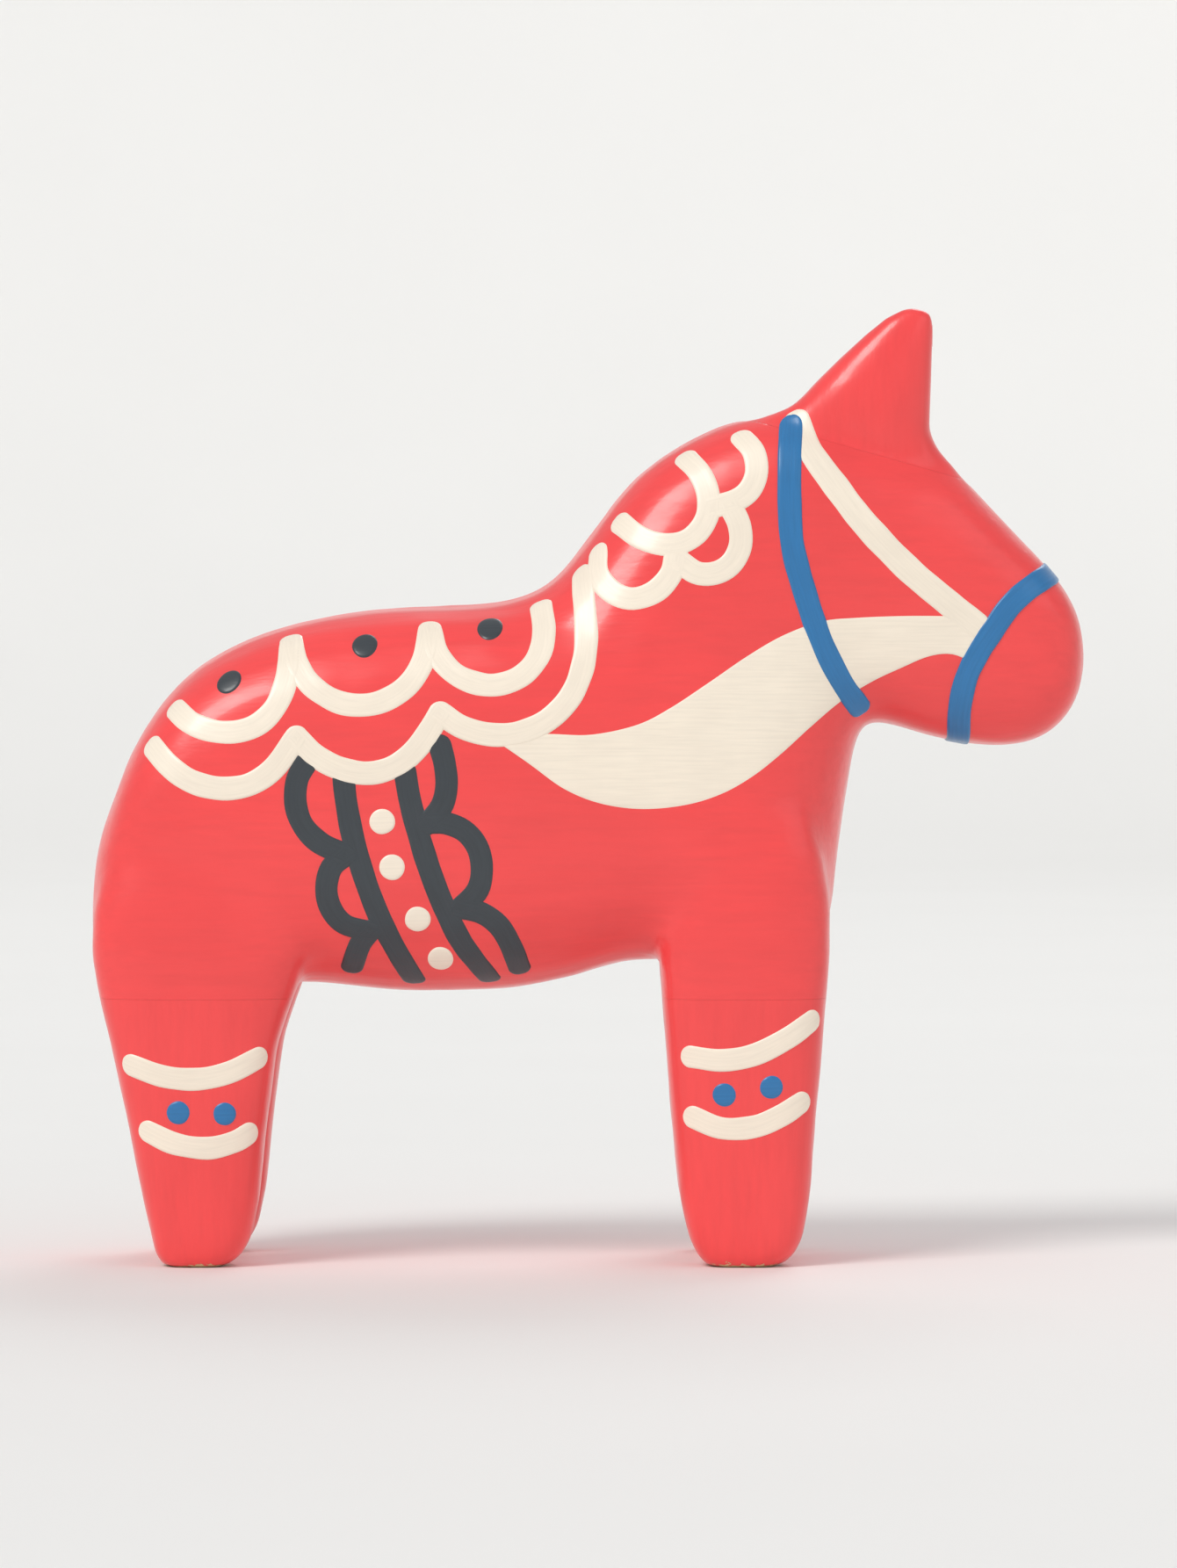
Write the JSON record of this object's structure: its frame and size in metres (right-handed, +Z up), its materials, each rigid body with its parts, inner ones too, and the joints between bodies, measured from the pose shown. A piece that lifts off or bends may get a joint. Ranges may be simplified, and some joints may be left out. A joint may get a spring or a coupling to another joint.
{
  "type": "dala horse",
  "caption": "Large carved and painted wooden horse ornament, glued up from shaped boards, with pegged-on legs and ears, standing on flat hooves.",
  "frame": {"origin": "on the ground, under the middle of the horse's overall box", "axes": "+X forward towards the muzzle, +Y towards the horse's left side, +Z up"},
  "size_m": [0.4166, 0.124, 0.4],
  "materials": {
    "coral_paint": "coral red gloss enamel over carved pine",
    "bare_pine": "bare turned pine",
    "cream_paint": "cream gloss enamel brushed over the red",
    "slate_paint": "dark slate gloss enamel brushed over the red",
    "blue_paint": "blue gloss enamel brushed over the red"
  },
  "bodies": {
    "root": {"centre_board": "coral_paint", "left_side_board": "coral_paint", "right_side_board": "coral_paint", "front_left_leg": "coral_paint", "front_right_leg": "coral_paint", "rear_left_leg": "coral_paint", "rear_right_leg": "coral_paint", "left_ear": "coral_paint", "right_ear": "coral_paint", "front_left_leg_dowel_1": "bare_pine", "front_left_leg_dowel_2": "bare_pine", "front_right_leg_dowel_1": "bare_pine", "front_right_leg_dowel_2": "bare_pine", "rear_left_leg_dowel_1": "bare_pine", "rear_left_leg_dowel_2": "bare_pine", "rear_right_leg_dowel_1": "bare_pine", "rear_right_leg_dowel_2": "bare_pine", "rump_board_dowel": "bare_pine", "back_board_dowel": "bare_pine", "belly_board_dowel": "bare_pine", "shoulder_board_dowel": "bare_pine", "left_ear_peg": "bare_pine", "right_ear_peg": "bare_pine"}
  },
  "joints": []
}
